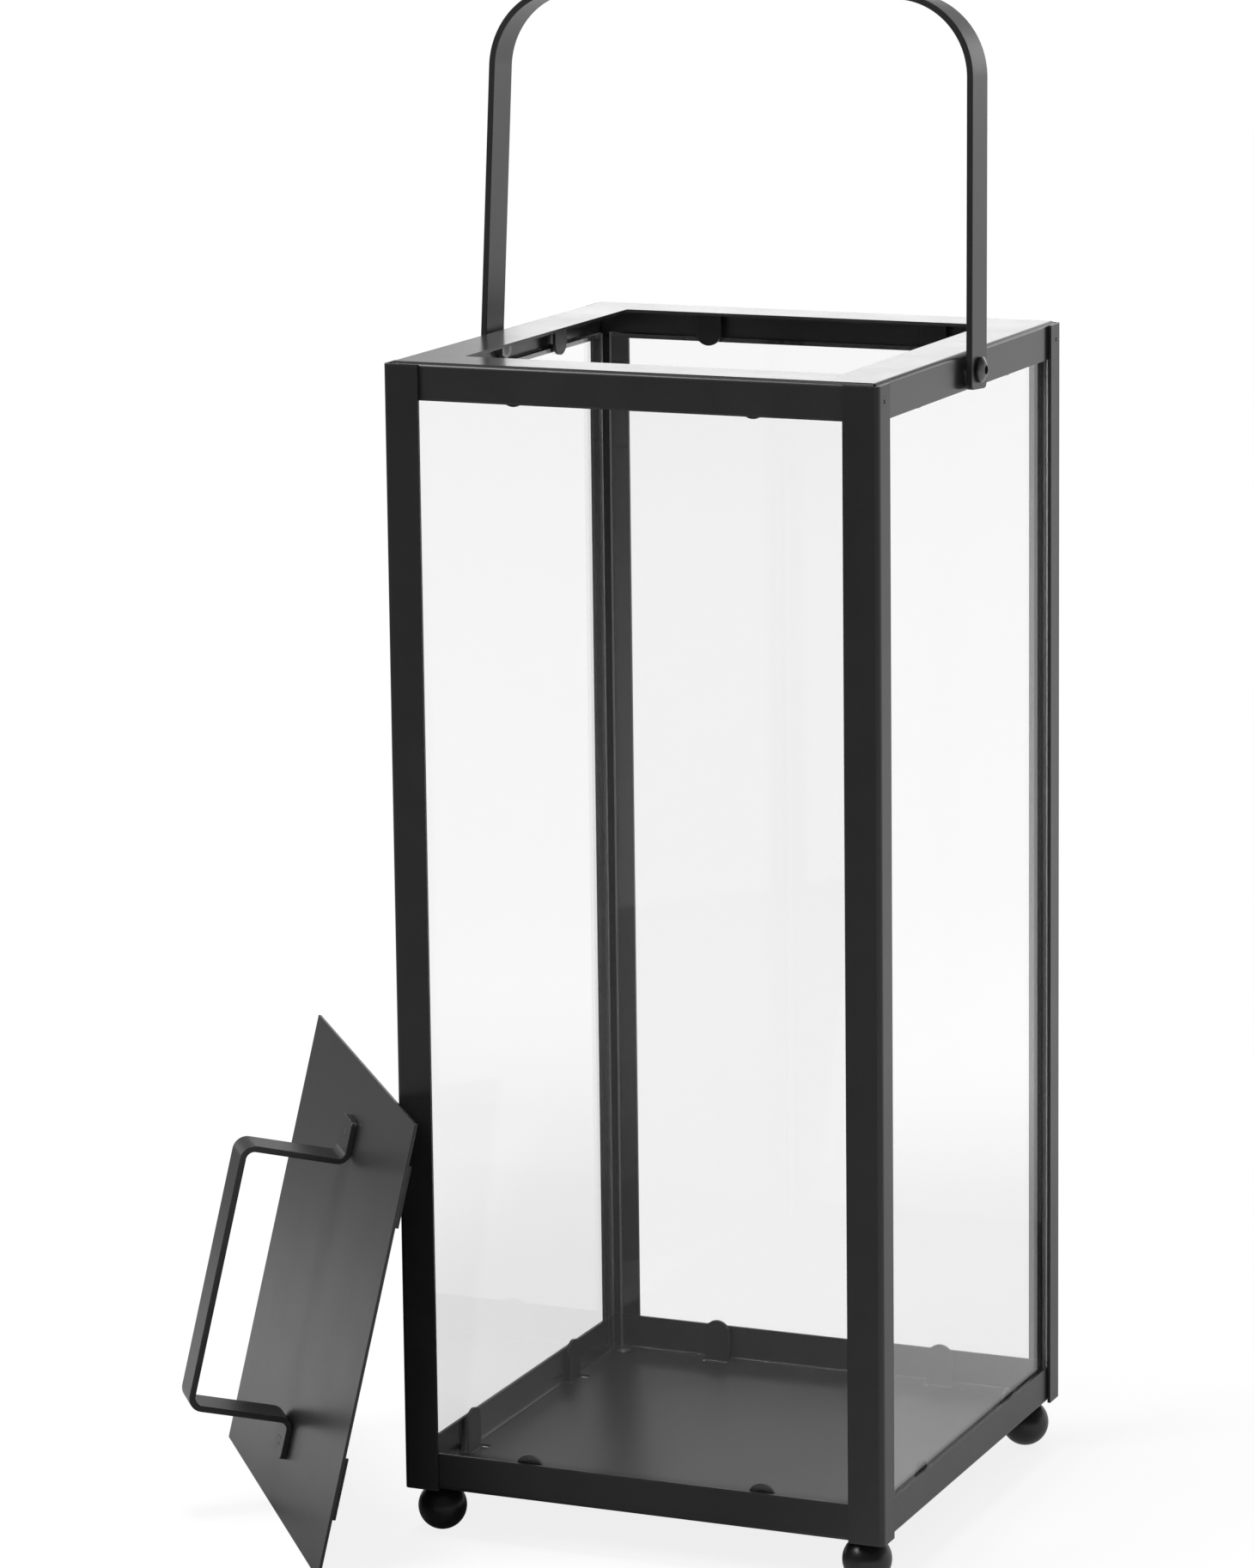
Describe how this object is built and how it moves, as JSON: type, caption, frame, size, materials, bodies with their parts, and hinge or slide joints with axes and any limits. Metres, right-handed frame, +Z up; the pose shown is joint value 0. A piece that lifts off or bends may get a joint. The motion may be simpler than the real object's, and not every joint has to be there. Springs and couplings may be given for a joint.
{
  "type": "candle lantern",
  "caption": "Square candle lantern of folded black sheet with glass sides, ball feet, a flat-bar carrying bail on two pivots, and a lift-off handled lid leaned against one post.",
  "frame": {"origin": "centre of the tray floor's upper face, where a candle stands", "axes": "+Z up, -Y to the front, -X to the left with the lid leaned at the front left post; the bail swings about the X direction"},
  "size_m": [0.3956, 0.3161, 0.7248],
  "materials": {
    "tray_coat": "satin black powder coat",
    "frame_coat": "satin black powder coat",
    "clip_coat": "satin black powder coat",
    "post_coat": "satin black powder coat",
    "lid_coat": "satin black powder coat",
    "lid_handle_coat": "satin black powder coat",
    "bail_coat": "satin black powder coat",
    "foot_coat": "semi-gloss black paint",
    "pane_glass": "clear float glass",
    "pivot_screw": "black oxide, slightly shiny",
    "small_screw": "black oxide",
    "hidden_fixings": "black zinc"
  },
  "bodies": {
    "lantern": {"base_tray": "tray_coat", "floor_clips": "clip_coat", "top_frame": "frame_coat", "glass_clips": "clip_coat", "post_front_left": "post_coat", "post_front_right": "post_coat", "post_back_left": "post_coat", "post_back_right": "post_coat", "post_screws": "small_screw", "glass_front": "pane_glass", "glass_back": "pane_glass", "glass_left": "pane_glass", "glass_right": "pane_glass", "foot_front_left": "foot_coat", "foot_front_right": "foot_coat", "foot_back_left": "foot_coat", "foot_back_right": "foot_coat", "foot_screws": "hidden_fixings", "pivot_screw_left": "pivot_screw", "pivot_screw_right": "pivot_screw", "pivot_spacer_left": "hidden_fixings", "pivot_spacer_right": "hidden_fixings", "pivot_nut_left": "hidden_fixings", "pivot_nut_right": "hidden_fixings"},
    "bail": {"bail_handle": "bail_coat"},
    "lid": {"lid_plate": "lid_coat", "lid_lugs": "lid_coat", "lid_handle": "lid_handle_coat", "lid_screws": "hidden_fixings"}
  },
  "joints": [
    {"name": "bail_swing", "type": "hinge", "parent": "lantern", "child": "bail", "pos_m": [0, 0, 0.528], "axis": [1, 0, 0], "range_deg": [-71.2, 78.8]},
    {"name": "lid_lift", "type": "slide", "parent": "lantern", "child": "lid", "axis": [0, 0, 1], "range_m": [0, 0.25]}
  ]
}
